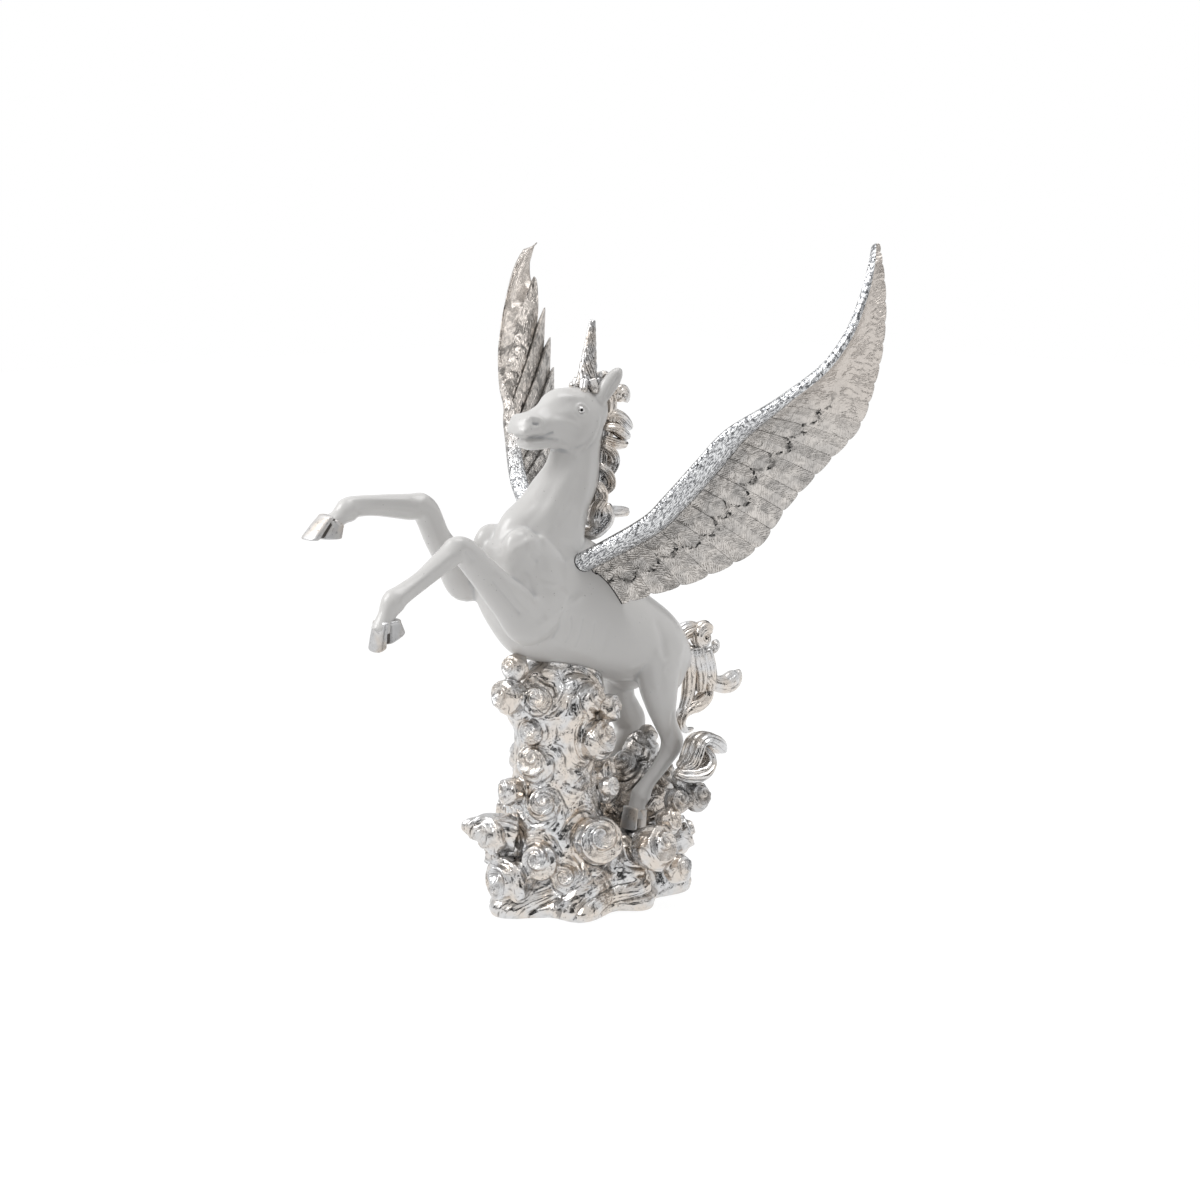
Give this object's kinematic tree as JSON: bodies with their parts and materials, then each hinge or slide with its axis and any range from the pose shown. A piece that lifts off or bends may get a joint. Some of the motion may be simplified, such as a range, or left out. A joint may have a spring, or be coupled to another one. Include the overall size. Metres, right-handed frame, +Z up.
{
  "type": "rearing winged unicorn figurine",
  "caption": "Rearing winged unicorn figurine: white cast horse with silver plated wings, horn, mane and tail, on a plated cloud base with a felt underside.",
  "frame": {"origin": "centre of the flat underside of the felt pad, on the plane of symmetry of the horse's trunk", "axes": "+Z up, the horse faces -Y, its own left is +X"},
  "size_m": [0.3034, 0.3165, 0.392],
  "materials": {
    "white_resin": "satin white lacquer on cast resin",
    "plated_resin": "bright silver plating on cast resin",
    "steel": "plain steel rod",
    "felt": "black felt"
  },
  "bodies": {
    "root": {"torso": "white_resin", "head": "white_resin", "foreleg_left": "white_resin", "foreleg_right": "white_resin", "hind_leg_left": "white_resin", "hind_leg_right": "white_resin", "hoof_fore_left": "plated_resin", "hoof_fore_right": "plated_resin", "hoof_hind_left": "plated_resin", "hoof_hind_right": "plated_resin", "eye_left": "plated_resin", "eye_right": "plated_resin", "horn": "plated_resin", "forelock": "plated_resin", "mane": "plated_resin", "wing_left": "plated_resin", "wing_right": "plated_resin", "tail": "plated_resin", "cloud_base": "plated_resin", "cloud_pillar": "plated_resin", "cloud_rear": "plated_resin", "cloud_plume": "plated_resin", "neck_dowel": "steel", "wing_dowel_left": "steel", "wing_dowel_right": "steel", "foreleg_dowel_left": "steel", "foreleg_dowel_right": "steel", "hind_dowel_left": "steel", "hind_dowel_right": "steel", "belly_dowel": "steel", "pillar_dowel": "steel", "horn_pin": "steel", "felt_pad": "felt"}
  },
  "joints": []
}
